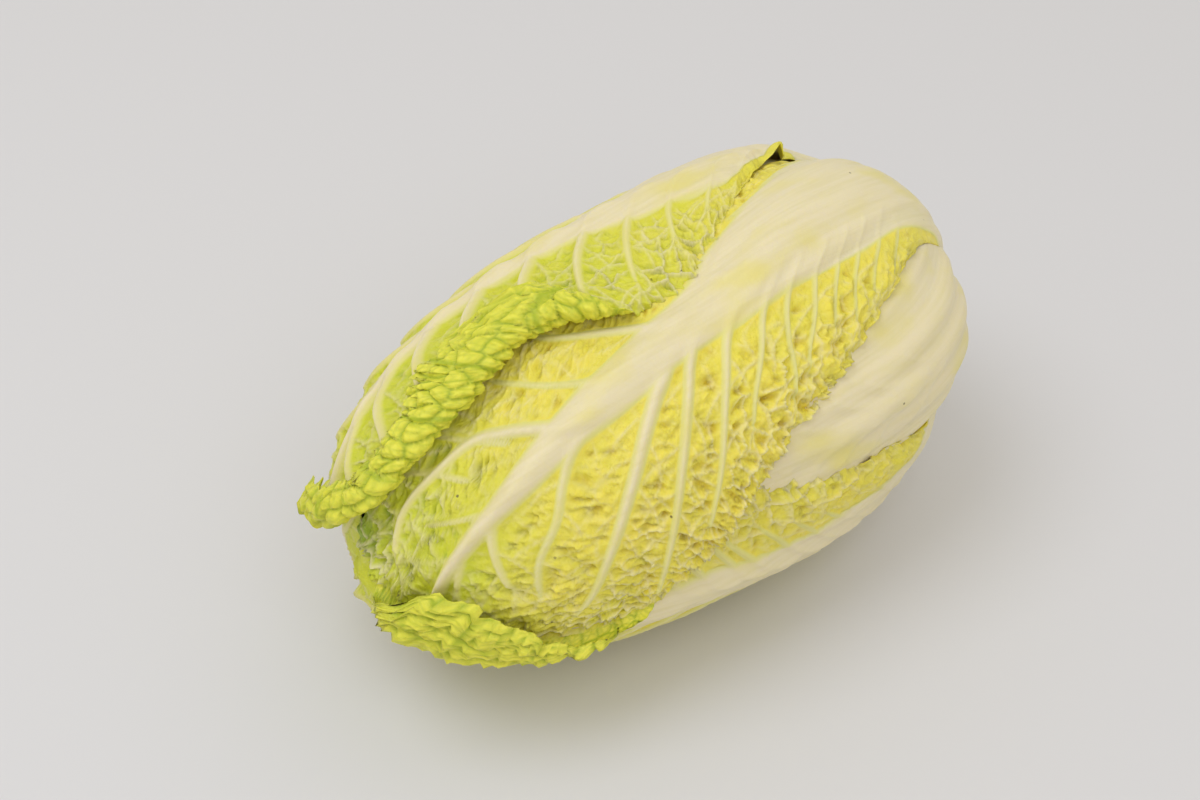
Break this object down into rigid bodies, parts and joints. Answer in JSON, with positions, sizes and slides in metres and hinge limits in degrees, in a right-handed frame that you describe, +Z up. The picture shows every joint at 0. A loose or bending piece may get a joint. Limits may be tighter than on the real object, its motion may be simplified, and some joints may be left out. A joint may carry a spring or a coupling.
{
  "type": "napa cabbage",
  "caption": "Barrel-shaped head of Chinese cabbage lying on its side, with broad overlapping leaves wrapped tightly round a cut stem.",
  "frame": {"origin": "centre of the bounding box, on the surface that the head lies on", "axes": "+Z up, +X along the head towards the cut stem end, -X towards the leaf tips, -Y the side that the picture shows"},
  "size_m": [0.271, 0.1514, 0.1506],
  "materials": {
    "wrapper_leaf": "satin",
    "folded_leaf": "satin",
    "heart": "satin",
    "stem": "matte"
  },
  "bodies": {
    "root": {"wrapper_leaf_upper": "wrapper_leaf", "wrapper_leaf_front": "wrapper_leaf", "wrapper_leaf_lower": "wrapper_leaf", "wrapper_leaf_back": "wrapper_leaf", "wrapper_leaf_side": "wrapper_leaf", "wrapper_leaf_under": "wrapper_leaf", "middle_leaf_1": "folded_leaf", "middle_leaf_2": "folded_leaf", "middle_leaf_3": "folded_leaf", "middle_leaf_4": "folded_leaf", "middle_leaf_5": "folded_leaf", "middle_leaf_6": "folded_leaf", "middle_leaf_7": "folded_leaf", "inner_leaf_1": "folded_leaf", "inner_leaf_2": "folded_leaf", "inner_leaf_3": "folded_leaf", "inner_leaf_4": "folded_leaf", "inner_leaf_5": "folded_leaf", "inner_leaf_6": "folded_leaf", "inner_leaf_7": "folded_leaf", "heart": "heart", "stem": "stem"}
  },
  "joints": []
}
